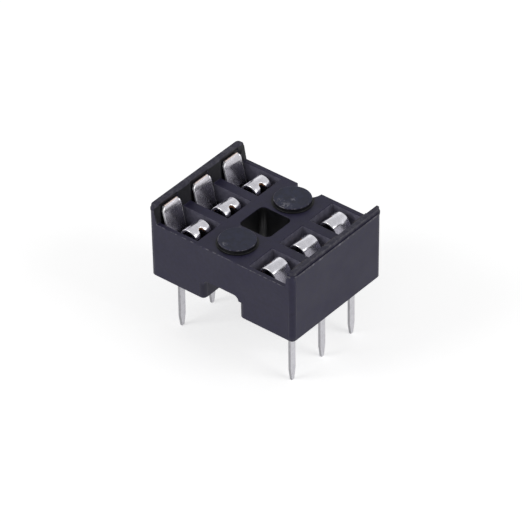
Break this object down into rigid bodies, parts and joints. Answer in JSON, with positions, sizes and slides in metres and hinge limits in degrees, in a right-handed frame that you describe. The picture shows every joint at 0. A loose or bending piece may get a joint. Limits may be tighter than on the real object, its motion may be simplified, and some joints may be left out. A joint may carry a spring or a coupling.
{
  "type": "dip socket",
  "caption": "Low dual-in-line chip socket: a square moulded housing with side walls, a window, round seat pads and an end notch, and stamped two-leaf spring contacts with solder tails.",
  "frame": {"origin": "centre of the 2 by 3 grid of tails, on the plane where the housing's feet meet the board", "axes": "+X across the two rows, +Y along the rows towards the notched end, +Z out of the board, the way the chip lifts off"},
  "size_m": [0.01, 0.0076, 0.0083],
  "materials": {
    "housing_plastic": "moulded black glass-filled thermoplastic, low sheen",
    "contact_tin": "bright tin plating over copper alloy strip"
  },
  "bodies": {
    "root": {"housing": "housing_plastic", "contact_1": "contact_tin", "contact_2": "contact_tin", "contact_3": "contact_tin", "contact_4": "contact_tin", "contact_5": "contact_tin", "contact_6": "contact_tin"}
  },
  "joints": []
}
